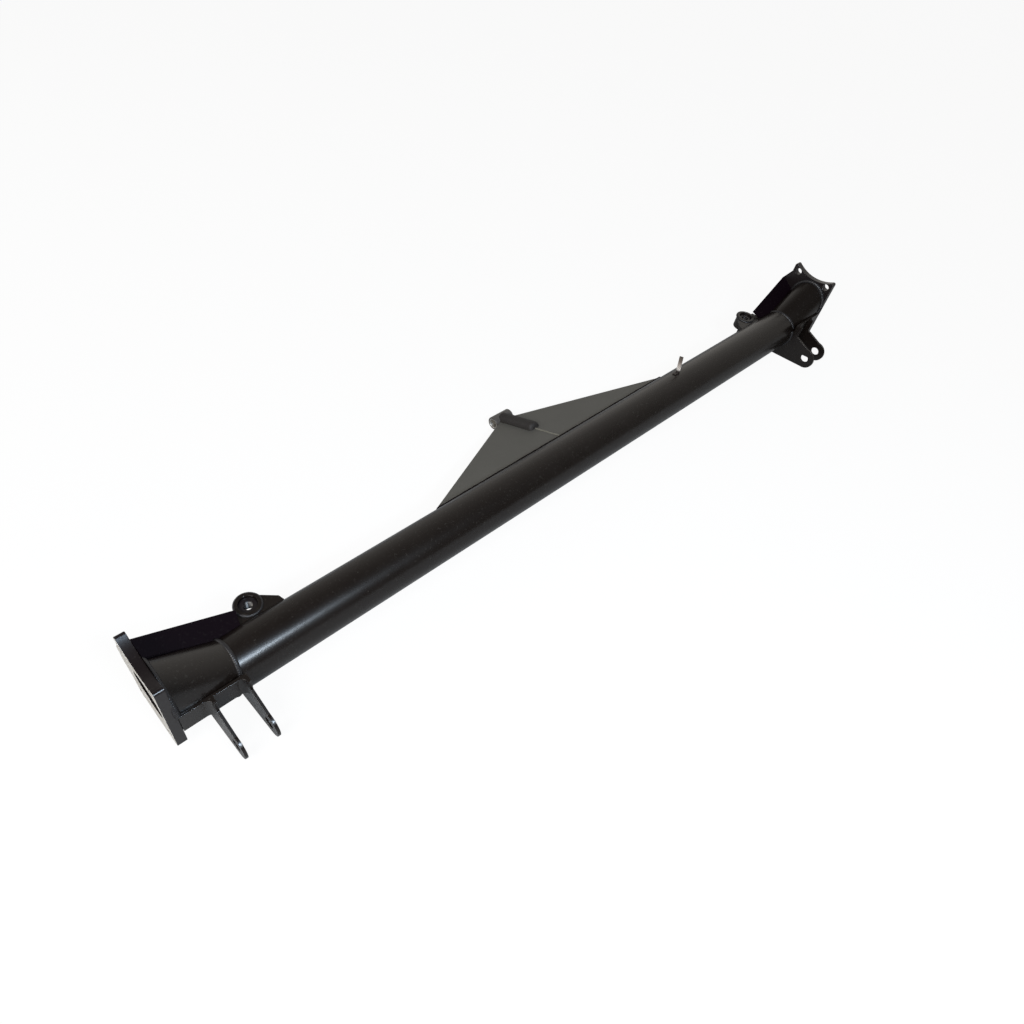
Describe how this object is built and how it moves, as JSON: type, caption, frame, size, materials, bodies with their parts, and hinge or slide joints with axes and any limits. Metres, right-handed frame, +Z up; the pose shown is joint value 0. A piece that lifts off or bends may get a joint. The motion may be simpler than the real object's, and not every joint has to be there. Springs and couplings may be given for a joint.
{
  "type": "de dion tube",
  "caption": "Welded De Dion axle tube: cranked end stubs with hub flanges, radius-arm lugs, damper bosses and a triangular A-frame plate with a pivot sleeve.",
  "frame": {"origin": "on the floor, at the middle of the bounding box, with the part lying as it comes to rest on the A-frame sleeve and the radius-arm lugs", "axes": "+X across the car to its right-hand side, along the tube; +Z up from the floor, which is nearly the forward direction of the car; +Y towards the A-frame sleeve, which is nearly the downward direction of the car"},
  "size_m": [1.143, 0.2306, 0.1242],
  "materials": {
    "tube_black": "satin black powder coat",
    "flange_finish": "satin black powder coat, outer face machined and left bare",
    "plate_black": "matte dark grey powder coat",
    "weld_black": "satin black powder coat over weld beads",
    "sleeve_finish": "satin black powder coat, ends bare bright steel",
    "bare_insert": "bare machined steel"
  },
  "bodies": {
    "root": {"a_frame_plate": "plate_black", "a_frame_rib": "tube_black", "a_frame_seam": "weld_black", "a_frame_sleeve": "sleeve_finish", "a_frame_weld_front": "weld_black", "a_frame_weld_rear": "weld_black", "damper_boss_left": "tube_black", "damper_boss_right": "tube_black", "damper_bracket_left": "tube_black", "damper_bracket_right": "tube_black", "damper_insert_left": "bare_insert", "damper_insert_right": "bare_insert", "damper_weld_left": "weld_black", "damper_weld_right": "weld_black", "end_stub_left": "tube_black", "end_stub_right": "tube_black", "flange_gusset_left": "tube_black", "flange_gusset_right": "tube_black", "flange_weld_left": "weld_black", "flange_weld_right": "weld_black", "hub_flange_left": "flange_finish", "hub_flange_right": "flange_finish", "lug_weld_inner_left": "weld_black", "lug_weld_inner_right": "weld_black", "lug_weld_outer_left": "weld_black", "lug_weld_outer_right": "weld_black", "main_tube": "tube_black", "mitre_weld_left": "weld_black", "mitre_weld_right": "weld_black", "pipe_clip": "tube_black", "radius_arm_lug_inner_left": "tube_black", "radius_arm_lug_inner_right": "tube_black", "radius_arm_lug_outer_left": "tube_black", "radius_arm_lug_outer_right": "tube_black"}
  },
  "joints": []
}
